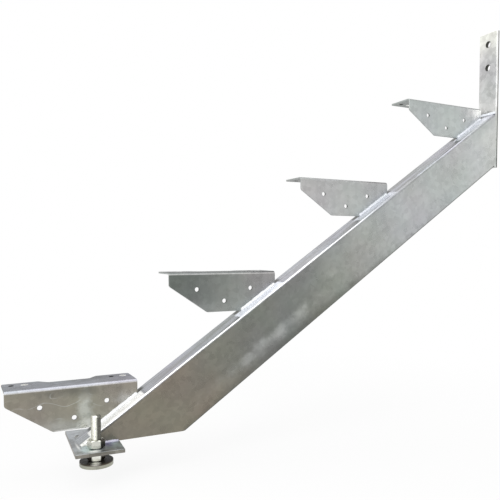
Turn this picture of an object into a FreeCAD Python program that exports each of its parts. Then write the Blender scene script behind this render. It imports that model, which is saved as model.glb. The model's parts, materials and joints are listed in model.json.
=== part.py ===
"""Steel stair stringer with folded tread brackets, a top fixing plate and a levelling foot.

Millimetres, +Z up, +X up the run of the stair, +Y towards the side that the tread seats reach out to.
The origin is the middle of the levelling foot's underside, with the foot wound right in.
"""
import FreeCAD
import Part
import Sketcher
import os

TREAD_COUNT = 4

SIZES = {
    # Stair
    "riser_height": 180,
    "tread_going": 265,
    "first_seat_height": 120,
    # Hollow section
    "tube_depth": 100,
    "tube_width": 50,
    "tube_wall": 3,
    "tube_corner": 6,
    # Folded tread bracket
    "bracket_length": 208,
    "bracket_depth": 72,
    "bracket_end": 24,
    "bracket_sheet": 3,
    "bend_inside": 3,
    "bracket_setback": 3,
    "bracket_corner": 6,
    "seat_depth": 62,
    "seat_waist": 47,
    "seat_tab": 57,
    "seat_taper": 14,
    "seat_corner": 4,
    # Holes for the tread screws, in the seat and in the upright web
    "screw_hole": 8,
    "seat_hole_edge": 14,
    "seat_hole_pitch": 20,
    "seat_hole_depth": 44,
    "web_hole_spacing": 105,
    "web_hole_drop": 30.5,
    "web_hole_step": 22,
    # Top fixing plate
    "top_run": 16,
    "top_plate_thickness": 8,
    "top_plate_rise": 170,
    "top_hole": 14,
    "top_hole_edge": 25,
    "top_hole_pitch": 52,
    # Foot plate
    "foot_plate_width": 75,
    "foot_plate_thickness": 6,
    "foot_plate_shift": 2.5,
    "toe_inset": 13.5,
    "stud_standoff": 17,
    "stud_edge": 28,
    "stud_hole": 18,
    # Levelling foot
    "stud_diameter": 16,
    "stud_above_nut": 38,
    "stud_chamfer": 1.5,
    "nut_flats": 24,
    "nut_height": 13,
    "nut_face": 22.5,
    "thread_clearance": 0.05,
    "seat_gap": 0.3,
    "disc_diameter": 52,
    "disc_thickness": 8,
    "socket_depth": 5,
    # Softened edges
    "edge_break": 0.8,
    "sheet_break": 0.5,
}

NUT_CHAMFER = "30 deg"
NUT_TURN = "18 deg"

# The foot plate is welded on a little askew, turned about the stud
FOOT_PLATE_TURN = "3 deg"

# How closely a measured distance or direction has to agree with the wanted one
NEAR_ENOUGH = 1e-4
ALONG = 0.999

# Levels and places that several pieces share
FOOT_PLATE_Z = "(sizes.disc_thickness + sizes.nut_height + 2 * sizes.seat_gap)"
UPPER_NUT_Z = f"({FOOT_PLATE_Z} + sizes.foot_plate_thickness + sizes.seat_gap)"
TUBE_FOOT_Z = f"({FOOT_PLATE_Z} + sizes.foot_plate_thickness)"
TUBE_Y = "(sizes.stud_standoff + sizes.tube_width / 2)"
TUBE_SLOPE = "atan(sizes.riser_height / sizes.tread_going)"
TOE_X = "(sizes.foot_plate_shift + sizes.toe_inset - sizes.foot_plate_width / 2)"
FIRST_NOSE_X = (f"({TOE_X} + (sizes.first_seat_height - sizes.bracket_end - {TUBE_FOOT_Z})"
                " * sizes.tread_going / sizes.riser_height - sizes.bracket_length)")
TOP_X = (f"({FIRST_NOSE_X} + {TREAD_COUNT - 1} * sizes.tread_going"
         " + sizes.bracket_length + sizes.top_run)")
TOP_SEAT_Z = f"(sizes.first_seat_height + {TREAD_COUNT - 1} * sizes.riser_height)"

doc = FreeCAD.newDocument("stair_stringer")
sheet = doc.addObject("Spreadsheet::Sheet", "sizes")
for row, (alias, number) in enumerate(SIZES.items(), start=1):
    sheet.set(f"A{row}", alias)
    sheet.set(f"B{row}", str(number))
    sheet.setAlias(f"B{row}", alias)
doc.recompute()


def value(expression):
    """Present size of an expression, in millimetres or degrees."""
    result = sheet.evalExpression(expression)
    return float(getattr(result, "Value", result))


def new_body(name, x="0", y="0", z="0"):
    """Empty body whose own origin stands at the given place."""
    body = doc.addObject("PartDesign::Body", name)
    body.Label = name
    for axis, expression in zip("xyz", (x, y, z)):
        body.setExpression(f"Placement.Base.{axis}", expression)
    return body


def new_sketch(body, plane, name):
    """Sketch on one of the body's own origin planes."""
    sketch = body.newObject("Sketcher::SketchObject", f"{body.Name}_{name}")
    support = [feature for feature in body.Origin.OriginFeatures if feature.Role == plane][0]
    sketch.AttachmentSupport = (support, [""])
    sketch.MapMode = "FlatFace"
    return sketch


def hold(sketch, geometry, point, x, y):
    """Ties one point of a sketch to its distances from the sketch's origin."""
    for kind, expression in (("DistanceX", x), ("DistanceY", y)):
        number = sketch.addConstraint(
            Sketcher.Constraint(kind, -1, 1, geometry, point, value(expression)))
        name = f"{kind}_{geometry}"
        sketch.renameConstraint(number, name)
        sketch.setExpression(f"Constraints.{name}", expression)


def outline(sketch, corners):
    """Closed outline of straight sides through the corners."""
    points = [FreeCAD.Vector(value(x), value(y), 0) for x, y in corners]
    first = sketch.GeometryCount
    count = len(points)
    for start, end in zip(points, points[1:] + points[:1]):
        sketch.addGeometry(Part.LineSegment(start, end))
    for side in range(count):
        following = (side + 1) % count
        sketch.addConstraint(
            Sketcher.Constraint("Coincident", first + side, 2, first + following, 1))
    for side, (x, y) in enumerate(corners):
        hold(sketch, first + side, 1, x, y)


def rectangle(sketch, left, right, bottom, top):
    """Upright rectangle between four levels."""
    outline(sketch, [(left, bottom), (right, bottom), (right, top), (left, top)])


def circle(sketch, x, y, diameter):
    """Circle at a place of its own."""
    centre = FreeCAD.Vector(value(x), value(y), 0)
    number = sketch.addGeometry(
        Part.Circle(centre, FreeCAD.Vector(0, 0, 1), value(diameter) / 2))
    hold(sketch, number, 3, x, y)
    constraint = sketch.addConstraint(Sketcher.Constraint("Diameter", number, value(diameter)))
    sketch.renameConstraint(constraint, f"diameter_{number}")
    sketch.setExpression(f"Constraints.diameter_{number}", diameter)


def pad(body, sketch, length, name):
    """Solid grown from a sketch along its normal."""
    feature = body.newObject("PartDesign::Pad", f"{body.Name}_{name}")
    feature.Profile = sketch
    feature.setExpression("Length", length)
    doc.recompute()
    return feature


def cut_through(body, sketch, name, midplane=False):
    """Cut of a sketch right through the body, checked to have taken material off."""
    before = body.Shape.Volume
    feature = body.newObject("PartDesign::Pocket", f"{body.Name}_{name}")
    feature.Profile = sketch
    feature.Type = "ThroughAll"
    feature.Midplane = midplane
    doc.recompute()
    if body.Shape.Volume >= before:
        raise RuntimeError(f"{feature.Name} took nothing off {body.Label}")
    return feature


def edges_at(shape, points):
    """Names of the edges that pass through the given points."""
    names = []
    for point in points:
        vertex = Part.Vertex(point)
        found = [index for index, edge in enumerate(shape.Edges, start=1)
                 if edge.distToShape(vertex)[0] < NEAR_ENOUGH]
        names.extend(f"Edge{index}" for index in found)
    return sorted(set(names))


def round_edges(body, edges, radius, name):
    """Rounds edges of the body's latest feature, named as local edge names."""
    base = body.Tip
    feature = body.newObject("PartDesign::Fillet", f"{body.Name}_{name}")
    feature.Base = (base, edges)
    feature.setExpression("Radius", radius)
    doc.recompute()
    return feature


def straight_edges(shape):
    """Names of all straight edges of a shape."""
    return [f"Edge{index}" for index, edge in enumerate(shape.Edges, start=1)
            if isinstance(edge.Curve, Part.Line)]


def stringer_tube():
    """Rectangular hollow section on the stair's slope, sawn level at the foot and plumb at the top."""
    body = new_body("stringer_tube", TOE_X, TUBE_Y, TUBE_FOOT_Z)
    body.Placement.Rotation = FreeCAD.Rotation(FreeCAD.Vector(0, -1, 0), value(TUBE_SLOPE))
    body.setExpression("Placement.Rotation.Angle", TUBE_SLOPE)
    spare = "sizes.tube_depth"
    run = f"(({TOP_X} - {TOE_X}) / cos({TUBE_SLOPE}))"

    section = new_sketch(body, "YZ_Plane", "section")
    section.setExpression("AttachmentOffset.Base.z", f"-{spare}")
    half = "sizes.tube_width / 2"
    wall = "sizes.tube_wall"
    rectangle(section, f"-{half}", half, "-sizes.tube_depth", "0")
    rectangle(section, f"{wall} - {half}", f"{half} - {wall}", f"{wall} - sizes.tube_depth", f"-{wall}")
    length = pad(body, section, f"{run} + 2 * {spare}", "length")

    def long_edges(inset):
        side = value(half) - inset
        middle = value(run) / 2
        levels = (-inset, inset - value("sizes.tube_depth"))
        return edges_at(length.Shape, [FreeCAD.Vector(middle, y, z) for y in (-side, side) for z in levels])

    outer = long_edges(0)
    inner = long_edges(value(wall))
    round_edges(body, outer, "sizes.tube_corner", "outer_corners")
    names = edges_at(body.Tip.Shape, [length.Shape.getElement(edge).CenterOfMass for edge in inner])
    round_edges(body, names, f"max(sizes.tube_corner - {wall}; {wall} / 4)", "inner_corners")

    level_cut = new_sketch(body, "XZ_Plane", "level_cut")
    past_x = f"{spare} * cos({TUBE_SLOPE})"
    past_z = f"{spare} * sin({TUBE_SLOPE})"
    heel = f"sizes.tube_depth / tan({TUBE_SLOPE})"
    low = f"-sizes.tube_depth - {past_z}"
    outline(level_cut, [(f"-2 * {past_x}", f"2 * {past_z}"),
                        (f"{heel} + {past_x}", low),
                        (f"-2 * {past_x}", low)])
    cut_through(body, level_cut, "foot_saw_cut", midplane=True)

    plumb_cut = new_sketch(body, "XZ_Plane", "plumb_cut")
    rise_past = f"{spare} * cos({TUBE_SLOPE})"
    run_past = f"{spare} * sin({TUBE_SLOPE})"
    lower_end = f"({run} - sizes.tube_depth * tan({TUBE_SLOPE}))"
    outline(plumb_cut, [(f"{run} + {run_past}", rise_past),
                        (f"{lower_end} - {run_past}", f"-sizes.tube_depth - {rise_past}"),
                        (f"{run} + 3 * {spare}", f"-sizes.tube_depth - {rise_past}"),
                        (f"{run} + 3 * {spare}", rise_past)])
    cut_through(body, plumb_cut, "top_saw_cut", midplane=True)
    return body


def tread_bracket(index):
    """Folded sheet: an upright web with sloping lower ends under a level seat that narrows in the middle."""
    body = new_body(f"tread_bracket_{index + 1}",
                    f"{FIRST_NOSE_X} + {index} * sizes.tread_going",
                    f"{TUBE_Y} + sizes.bracket_setback",
                    f"sizes.first_seat_height + {index} * sizes.riser_height")
    length = "sizes.bracket_length"
    depth = "sizes.bracket_depth"
    end = "sizes.bracket_end"
    gauge = "sizes.bracket_sheet"
    slant = f"(({depth} - {end}) * sizes.tread_going / sizes.riser_height)"

    profile = new_sketch(body, "YZ_Plane", "fold_profile")
    outline(profile, [("0", f"-{depth}"), (gauge, f"-{depth}"), (gauge, f"-{gauge}"),
                      ("sizes.seat_depth", f"-{gauge}"), ("sizes.seat_depth", "0"), ("0", "0")])
    pad(body, profile, length, "sheet")

    ends = new_sketch(body, "XZ_Plane", "web_ends")
    outline(ends, [("0", f"-{end}"), ("0", f"-{depth}"), (slant, f"-{depth}")])
    outline(ends, [(length, f"-{end}"), (f"{length} - {slant}", f"-{depth}"), (length, f"-{depth}")])
    cut_through(body, ends, "web_trim", midplane=True)

    waist = new_sketch(body, "XY_Plane", "seat_waist")
    tab = "sizes.seat_tab"
    inner_tab = "(sizes.seat_tab + sizes.seat_taper)"
    outline(waist, [(tab, "sizes.seat_depth"),
                    (inner_tab, "sizes.seat_waist"),
                    (f"{length} - {inner_tab}", "sizes.seat_waist"),
                    (f"{length} - {tab}", "sizes.seat_depth")])
    cut_through(body, waist, "seat_trim", midplane=True)

    web_holes = new_sketch(body, "XZ_Plane", "web_holes")
    upper = "-sizes.web_hole_drop"
    for x, z in ((f"({length} - sizes.web_hole_spacing) / 2", upper),
                 (f"({length} + sizes.web_hole_spacing) / 2", upper),
                 (f"{length} / 2", f"{upper} - sizes.web_hole_step")):
        circle(web_holes, x, z, "sizes.screw_hole")
    cut_through(body, web_holes, "web_drilling", midplane=True)

    seat_holes = new_sketch(body, "XY_Plane", "seat_holes")
    outer_hole = "sizes.seat_hole_edge"
    inner_hole = "(sizes.seat_hole_edge + sizes.seat_hole_pitch)"
    for x in (outer_hole, inner_hole, f"{length} - {inner_hole}", f"{length} - {outer_hole}"):
        circle(seat_holes, x, "sizes.seat_hole_depth", "sizes.screw_hole")
    cut_through(body, seat_holes, "seat_drilling", midplane=True)

    round_bracket(body, value(length), value(slant))
    return body


def round_bracket(body, length, slant):
    """Bend of the sheet, rounded corners of its outline and its softened sheared edges."""
    gauge = value("sizes.bracket_sheet")
    depth = value("sizes.bracket_depth")
    end = value("sizes.bracket_end")
    tab = value("sizes.seat_tab")
    waist_end = tab + value("sizes.seat_taper")
    bend_outside = gauge + value("sizes.bend_inside")
    middle = length / 2

    outer_fold = edges_at(body.Tip.Shape, [FreeCAD.Vector(middle, 0, 0)])
    round_edges(body, outer_fold, "sizes.bend_inside + sizes.bracket_sheet", "bend_outside")
    inner_fold = edges_at(body.Tip.Shape, [FreeCAD.Vector(middle, gauge, -gauge)])
    round_edges(body, inner_fold, "sizes.bend_inside", "bend_inside")

    web_corners = [(0, -end), (slant, -depth), (length - slant, -depth), (length, -end)]
    corners = edges_at(body.Tip.Shape, [FreeCAD.Vector(x, gauge / 2, z) for x, z in web_corners])
    round_edges(body, corners, "sizes.bracket_corner", "web_corners")
    seat_depth = value("sizes.seat_depth")
    seat_waist = value("sizes.seat_waist")
    seat_corners = [(0, seat_depth), (tab, seat_depth), (waist_end, seat_waist)]
    seat_corners += [(length - x, y) for x, y in seat_corners]
    corners = edges_at(body.Tip.Shape, [FreeCAD.Vector(x, y, -gauge / 2) for x, y in seat_corners])
    round_edges(body, corners, "sizes.seat_corner", "seat_corners")

    def on_skin(point):
        """True on the sheet's outer or inner skin, round the bend too."""
        for inset, radius in ((0, bend_outside), (gauge, bend_outside - gauge)):
            flat_web = abs(point.y - inset) < NEAR_ENOUGH and point.z < -bend_outside
            flat_seat = abs(point.z + inset) < NEAR_ENOUGH and point.y > bend_outside
            around = ((point.y - bend_outside) ** 2 + (point.z + bend_outside) ** 2) ** 0.5
            in_corner = point.y < bend_outside and point.z > -bend_outside
            in_bend = in_corner and abs(around - radius) < NEAR_ENOUGH
            if flat_web or flat_seat or in_bend:
                return True
        return False

    hole = value("sizes.screw_hole") / 2
    sheared = []
    for number, edge in enumerate(body.Tip.Shape.Edges, start=1):
        start, end_point = edge.ParameterRange
        centre = edge.valueAt((start + end_point) / 2)
        along_fold = isinstance(edge.Curve, Part.Line) and abs(edge.tangentAt(start).x) > ALONG \
            and (abs(centre.y - bend_outside) < NEAR_ENOUGH or abs(centre.z + bend_outside) < NEAR_ENOUGH)
        round_hole = isinstance(edge.Curve, Part.Circle) and edge.isClosed() \
            and abs(edge.Curve.Radius - hole) < NEAR_ENOUGH
        if on_skin(centre) and not along_fold and not round_hole:
            sheared.append(f"Edge{number}")
    round_edges(body, sheared, "min(sizes.sheet_break; sizes.bracket_sheet / 4)", "sheared_edges")


def top_fixing_plate():
    """Flat bar welded across the tube's plumb end, standing up behind the top step, with two bolt holes."""
    body = new_body("top_fixing_plate", TOP_X)
    sketch = new_sketch(body, "YZ_Plane", "outline")
    bottom = (f"{TUBE_FOOT_Z} + ({TOP_X} - {TOE_X}) * sizes.riser_height / sizes.tread_going"
              f" - sizes.tube_depth / cos({TUBE_SLOPE})")
    top = f"({TOP_SEAT_Z} + sizes.top_plate_rise)"
    rectangle(sketch, f"{TUBE_Y} - sizes.tube_width / 2", f"{TUBE_Y} + sizes.tube_width / 2", bottom, top)
    for drop in ("sizes.top_hole_edge", "(sizes.top_hole_edge + sizes.top_hole_pitch)"):
        circle(sketch, TUBE_Y, f"{top} - {drop}", "sizes.top_hole")
    pad(body, sketch, "sizes.top_plate_thickness", "bar")
    radius = "min(sizes.edge_break; sizes.top_plate_thickness / 4)"
    round_edges(body, straight_edges(body.Tip.Shape), radius, "edges")
    return body


def foot_plate():
    """Flat plate across the tube's toe, with a clearance hole for the levelling stud beside the tube."""
    body = new_body("foot_plate", z=FOOT_PLATE_Z)
    body.Placement.Rotation = FreeCAD.Rotation(FreeCAD.Vector(0, 0, -1), value(FOOT_PLATE_TURN))
    body.setExpression("Placement.Rotation.Angle", FOOT_PLATE_TURN)
    sketch = new_sketch(body, "XY_Plane", "outline")
    shift = "sizes.foot_plate_shift"
    half = "sizes.foot_plate_width / 2"
    rectangle(sketch, f"{shift} - {half}", f"{shift} + {half}",
              "-sizes.stud_edge", f"2 * {TUBE_Y} + sizes.stud_edge")
    circle(sketch, "0", "0", "sizes.stud_hole")
    pad(body, sketch, "sizes.foot_plate_thickness", "plate")
    radius = "min(sizes.edge_break; sizes.foot_plate_thickness / 4)"
    round_edges(body, straight_edges(body.Tip.Shape), radius, "edges")
    return body


def hexagon_nut(name, level):
    """Plain hexagon nut on the stud's axis, with the corners of both faces turned off at an angle."""
    body = new_body(name, z=level)
    body.Placement.Rotation = FreeCAD.Rotation(FreeCAD.Vector(0, 0, 1), value(NUT_TURN))
    body.setExpression("Placement.Rotation.Angle", NUT_TURN)
    sketch = new_sketch(body, "XY_Plane", "hexagon")
    flat = "sizes.nut_flats / 2"
    point = "sizes.nut_flats / sqrt(3)"
    outline(sketch, [("0", point), (f"-{flat}", f"{point} / 2"), (f"-{flat}", f"-{point} / 2"),
                     ("0", f"-{point}"), (flat, f"-{point} / 2"), (flat, f"{point} / 2")])
    circle(sketch, "0", "0", "sizes.stud_diameter + 2 * sizes.thread_clearance")
    pad(body, sketch, "sizes.nut_height", "blank")

    corners = new_sketch(body, "XZ_Plane", "corner_chamfers")
    face = "sizes.nut_face / 2"
    past = "sizes.nut_flats"
    fall = f"({past} - {face}) * tan({NUT_CHAMFER})"
    outline(corners, [(face, "0"), (past, "0"), (past, fall)])
    outline(corners, [(face, "sizes.nut_height"),
                      (past, "sizes.nut_height"),
                      (past, f"sizes.nut_height - {fall}")])
    before = body.Shape.Volume
    groove = body.newObject("PartDesign::Groove", f"{name}_chamfers")
    groove.Profile = corners
    groove.ReferenceAxis = (corners, ["V_Axis"])
    groove.Angle = 360
    doc.recompute()
    if body.Shape.Volume >= before:
        raise RuntimeError(f"{groove.Name} took nothing off {name}")
    return body


def levelling_stud():
    """Threaded stud, drawn at its outer diameter, that stands in the disc and runs up through both nuts."""
    body = new_body("levelling_stud", z="sizes.disc_thickness - sizes.socket_depth")
    sketch = new_sketch(body, "XY_Plane", "section")
    circle(sketch, "0", "0", "sizes.stud_diameter")
    top = f"({UPPER_NUT_Z} + sizes.nut_height + sizes.stud_above_nut)"
    length = f"{top} - sizes.disc_thickness + sizes.socket_depth"
    rod = pad(body, sketch, length, "rod")
    rim = edges_at(rod.Shape, [FreeCAD.Vector(value("sizes.stud_diameter") / 2, 0, value(length))])
    chamfer = body.newObject("PartDesign::Chamfer", "levelling_stud_tip")
    chamfer.Base = (rod, [name for name in rim if rod.Shape.getElement(name).isClosed()])
    chamfer.setExpression("Size", "sizes.stud_chamfer")
    doc.recompute()
    return body


def foot_disc():
    """Round steel disc that stands on the floor, with a blind socket for the stud."""
    body = new_body("foot_disc")
    sketch = new_sketch(body, "XY_Plane", "outline")
    circle(sketch, "0", "0", "sizes.disc_diameter")
    pad(body, sketch, "sizes.disc_thickness", "disc")
    socket = new_sketch(body, "XY_Plane", "socket")
    socket.setExpression("AttachmentOffset.Base.z", "sizes.disc_thickness - sizes.socket_depth")
    circle(socket, "0", "0", "sizes.stud_diameter + 2 * sizes.thread_clearance")
    before = body.Shape.Volume
    pocket = body.newObject("PartDesign::Pocket", "foot_disc_socket_bore")
    pocket.Profile = socket
    pocket.Reversed = True
    pocket.setExpression("Length", "sizes.socket_depth")
    doc.recompute()
    if body.Shape.Volume >= before:
        raise RuntimeError("the socket took nothing off the foot disc")
    rim = value("sizes.disc_diameter") / 2
    levels = (0, value("sizes.disc_thickness"))
    rims = edges_at(body.Tip.Shape, [FreeCAD.Vector(rim, 0, level) for level in levels])
    closed = [name for name in rims if body.Tip.Shape.getElement(name).isClosed()]
    round_edges(body, closed, "min(sizes.edge_break; sizes.disc_thickness / 4)", "rims")
    return body


bodies = [stringer_tube()]
bodies += [tread_bracket(index) for index in range(TREAD_COUNT)]
bodies += [top_fixing_plate(), foot_plate()]
bodies += [hexagon_nut("lower_nut", "sizes.disc_thickness + sizes.seat_gap"),
           hexagon_nut("upper_nut", UPPER_NUT_Z)]
bodies += [levelling_stud(), foot_disc()]

doc.recompute()
for item in doc.Objects:
    if "Invalid" in item.State or "Error" in item.State:
        raise RuntimeError(f"{item.Name} could not be worked out: {item.State}")
for body in bodies:
    if body.Shape.isNull() or not body.Shape.isValid() or len(body.Shape.Solids) != 1:
        raise RuntimeError(f"{body.Label} is not one sound solid")

os.makedirs("parts", exist_ok=True)
for body in bodies:
    body.Shape.exportStep(f"parts/{body.Label}.step")
    box = body.Shape.BoundBox
    print(f"{body.Label}: {body.Shape.Volume / 1000:.1f} cm3,"
          f" x {box.XMin:.1f} to {box.XMax:.1f}, y {box.YMin:.1f} to {box.YMax:.1f},"
          f" z {box.ZMin:.1f} to {box.ZMax:.1f}")
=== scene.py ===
"""Looks of a galvanised stair stringer: zinc finishes, weld beads, a cut thread and a plain studio.

Metres, +X up the run of the stair, +Y to the side that the tread seats reach out to, +Z up.
"""
import json
import math

import bpy
import numpy as np
from bpy.props import FloatProperty, FloatVectorProperty, IntProperty, PointerProperty
from bpy.types import Operator, Panel, PropertyGroup
from mathutils import Matrix, Vector


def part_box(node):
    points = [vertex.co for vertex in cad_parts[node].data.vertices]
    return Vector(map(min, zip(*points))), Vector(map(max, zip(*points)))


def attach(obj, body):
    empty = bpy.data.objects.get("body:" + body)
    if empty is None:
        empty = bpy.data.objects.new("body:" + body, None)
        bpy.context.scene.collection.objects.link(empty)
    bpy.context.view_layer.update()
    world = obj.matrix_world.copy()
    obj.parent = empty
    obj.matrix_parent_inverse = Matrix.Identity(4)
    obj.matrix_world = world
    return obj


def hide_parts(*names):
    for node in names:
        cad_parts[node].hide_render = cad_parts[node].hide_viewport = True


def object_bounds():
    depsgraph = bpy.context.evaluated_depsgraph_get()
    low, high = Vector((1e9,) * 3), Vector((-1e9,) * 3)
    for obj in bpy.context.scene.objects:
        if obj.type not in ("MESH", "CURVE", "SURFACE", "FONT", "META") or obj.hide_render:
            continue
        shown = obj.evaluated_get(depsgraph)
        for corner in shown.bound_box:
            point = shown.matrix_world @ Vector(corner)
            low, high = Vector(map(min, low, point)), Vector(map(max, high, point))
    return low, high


bl_info = {
    "name": "Stair Stringer Looks",
    "version": (1, 0, 0),
    "blender": (4, 5, 0),
    "location": "View3D > Sidebar > Stringer",
    "description": "Zinc finishes, weld beads, stud thread and studio for a steel stair stringer",
    "category": "Object",
}

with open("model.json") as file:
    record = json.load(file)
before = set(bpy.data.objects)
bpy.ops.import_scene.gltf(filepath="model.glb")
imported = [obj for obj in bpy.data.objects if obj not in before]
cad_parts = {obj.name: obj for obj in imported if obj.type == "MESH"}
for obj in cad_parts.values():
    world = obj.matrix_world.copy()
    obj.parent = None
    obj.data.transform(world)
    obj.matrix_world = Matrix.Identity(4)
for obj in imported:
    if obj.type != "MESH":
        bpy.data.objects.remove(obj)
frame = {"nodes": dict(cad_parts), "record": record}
NODES = frame["nodes"]
CAD_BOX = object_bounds()
MILLIMETRE = 0.001

BRACKETS = sorted(name for name in NODES if name.startswith("tread_bracket"))
TUBE_LOW, TUBE_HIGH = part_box("stringer_tube")
TOP_LOW, TOP_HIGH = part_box("top_fixing_plate")
STUD_LOW, STUD_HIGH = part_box("levelling_stud")
PLATE_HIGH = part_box("foot_plate")[1]

# One step of the stair gives the slope of the hollow section, and places along it are counted from its toe
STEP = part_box(BRACKETS[1])[0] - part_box(BRACKETS[0])[0]
UPHILL = STEP.normalized()
OFF_TUBE = Vector((-UPHILL.z, 0, UPHILL.x))
TUBE_TURN = (0, -math.atan2(UPHILL.z, UPHILL.x), 0)
TOE = TUBE_LOW

# Sheet of the brackets, and their screw holes from the top corner of the nose. WALL_FADE is in radii
SHEET = 0.003
SCREW_RADIUS = 0.004
BRIGHT_RING = 1.4 * SCREW_RADIUS
WALL_FADE = (1.1, 1.03)
WEB_HOLES = ((0.0515, 0, -0.0305), (0.104, 0, -0.0525), (0.1565, 0, -0.0305))
# Walls of the dark seat holes are painted shade; the bright holes get a ring and walls of painted
# highlight
DARK_SEAT_HOLES = ((0.014, 0.044, 0), (0.174, 0.044, 0))
BRIGHT_SEAT_HOLES = ((0.034, 0.044, 0), (0.194, 0.044, 0))

# Zinc coat: how close its clouds, flakes, drawn lines, hues and pits lie, and how far they change it
CLOUD_SCALE, FLAKE_SCALE, LINE_SCALE, HUE_SCALE, PIT_SCALE = 13.0, 120.0, 60.0, 9.0, 420.0
CLOUD_SWING, FLAKE_SWING, LINE_SWING = 0.09, 0.065, 0.05
HUE_SHARE = 0.12
CLOUD_ROUGHNESS, FLAKE_ROUGHNESS = 0.05, 0.04
PIT_RELIEF, FLAKE_RELIEF = 0.6, 0.25
RELIEF_STRENGTH, RELIEF_HEIGHT = 0.22, 0.0006
METALLIC = 0.9
HIGHLIGHT_METALLIC = 0.1

# Soft spots: how close the rags of their rim lie, and the half sizes at which they have faded away
RAG_SCALE = 60.0
SPOT_REACH = 1.4

# Parts of the normal between which a face comes to look up, down, to the near side or along an axis
LOOKS_UP, LOOKS_DOWN, LOOKS_NEAR, LOOKS_ALONG = (0.15, 0.6), (-0.1, -0.6), (-0.3, -0.6), (0.5, 0.8)

# Places along the hollow section between which its side takes on another colour
# The side darkens towards the ground: partly weathering, partly painted shade
SIDE_FADES = (("middle", 0.18, 0.36), ("high", 0.40, 0.80), ("head", 0.88, 1.08))

# Marks on its side: place along it, depth, half length, half width, strength and colour
SIDE_MARKS = ((0.390, 0.071, 0.160, 0.014, 0.22, "stain"), (0.388, 0.071, 0.022, 0.011, 0.5, "stain"),
              (0.446, 0.066, 0.020, 0.011, 0.5, "stain"), (0.305, 0.072, 0.020, 0.010, 0.35, "stain"),
              (0.340, 0.066, 0.022, 0.010, 0.35, "stain"), (0.545, 0.045, 0.016, 0.008, 0.4, "stain"),
              # The last row is a line of painted shade along the lower edge
              (1.05, 0.010, 0.07, 0.016, 0.9, "high"), (0.47, 0.095, 0.3, 0.009, 0.5, "under"))

# Marks on its upper face: place along it, place across it, half length, half width, strength and colour
UPPER_MARKS = ((0.290, 0.028, 0.050, 0.016, 0.5, "middle"), (0.635, 0.015, 0.045, 0.009, 0.5, "middle"),
               (0.510, 0.020, 0.060, 0.030, 0.18, "bright"))

# Half size of the marks above at right angles to their face, so that they cover all of it
THROUGH = 0.05

# Drain streaks on its upper face: how drawn out and how close they lie, and the fade of their share
STREAK_DRAWN, STREAK_SCALE, STREAKS = (0.04, 1, 0), 170.0, (0.42, 0.58, 0.0, 0.6)

# Lines on its near upper corner: colour, fade of their share along it, and the normal's upright parts
# The dark line lies near the toe; the bright one is a painted highlight along the corner
CORNER_LINES = (("bore", (0.11, 0.05, 0.15, 0.6), (0.06, 0.56)),
                ("bright", (0.50, 0.75, 0.85, 0.0), (0.50, 0.81)))

# Painted highlight before the webs: shift of its middle, reach past a web's ends and under the web, and
# soft ends
HIGHLIGHT_SHIFT, HIGHLIGHT_PAST, HIGHLIGHT_UNDER = -0.005, 0.013, 0.002
HIGHLIGHT_SOFT_ALONG, HIGHLIGHT_SOFT_ACROSS = 0.004, 0.003

# Its limits as fades: normal of the flat face and of the round corner, corner's share, toe's end and edge
FLAT_FACE, ROUND_CORNER, CORNER_SHARE = (0.85, 0.97), (0.68, 0.84), (0.50, 0.60, 1.0, 0.0)
TOE_END, TOE_EDGE = (0.034, 0.026), (0.0066, 0.005)

# It cools uphill, dulls along the near corner by a share that falls uphill, and thins out uphill
HIGHLIGHT_COOLS, CORNER_WIDTH = (0.2, 0.33), (0.002, 0.012)
CORNER_DULLS, HIGHLIGHT_THINS = (0.5, 0.65, 1.0, 0.4), (0.40, 0.72, 1.0, 0.65)

# Painted shadow behind the ends of a web: distance past the end, half length, half width and soft rims
SHADOW_PAST, SHADOW_LENGTH, SHADOW_WIDTH = 0.003, 0.013, 0.008
SHADOW_SOFT_ALONG, SHADOW_SOFT_ACROSS = 0.006, 0.004

# Marks on the webs and seats: place from the top corner of the nose, half sizes, strength and colour
WEB_MARKS = {
    # Lowest web: painted reflection of the stud (first two), painted highlight on the lower edge (third),
    # painted shade under the bend (last)
    "tread_bracket_1": (((0.121, 0, -0.048), (0.012, 0.02, 0.042), 0.9, "stain"),
                        ((0.121, 0, -0.069), (0.011, 0.02, 0.012), 0.8, "bright"),
                        ((0.108, 0, -0.0715), (0.04, 0.02, 0.002), 1.0, "bright"),
                        ((0.192, 0, -0.030), (0.022, 0.02, 0.012), 0.6, "stain"),
                        ((0.104, 0, -0.066), (0.05, 0.02, 0.012), 0.4, "stain"),
                        ((0.112, 0, -0.009), (0.062, 0.02, 0.011), 0.55, "under")),
    "tread_bracket_4": (((0.203, 0, -0.007), (0.036, 0.02, 0.022), 0.85, "bright"),),
}
# Painted shade on the far part of each seat
SEAT_SHADE = ((0.140, 0.050, 0), (0.07, 0.030, 0.02), 0.4, "under")

# Scratched zone of the lowest web, and how drawn out, how close and how thin the scratches are
SCRATCHED_ZONE = ((0.070, 0, -0.032), (0.075, 0.05, 0.017), 0.8)
SCRATCH_DRAWN, SCRATCH_SCALE, SCRATCH_WIDTH, SCRATCH_SOFT = (0.45, 1, 1), 44.0, 0.014, 0.013

# Fade of the pale bloom towards the lower edge of a web, from the bracket's top
WEB_BLOOM = (-0.04, -0.075, 0.0, 0.25)

# Share of the painted highlight line on each bracket's bend, from the lowest up, and the normal's upright
# parts
BEND_HIGHLIGHT = (0.32, 0.38, 0.1, 0.0)
BEND_BAND = (0.20, 0.62)

# Top plate, from its upper far corner: fade to the pale upper end, and the dark arris of the sawn edges
PALE_END, DARK_ARRIS = (-0.075, -0.005), (-0.0036, -0.0026)

# Fresh zinc round its weld: half height, soft ends and share; and the fade of the edges across the weld
WELD_ZONE, WELD_SOFT, WELD_SHARE = 0.045, 0.03, 0.35
EDGE_BELOW, EDGE_ABOVE = 0.01, 0.02
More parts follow.
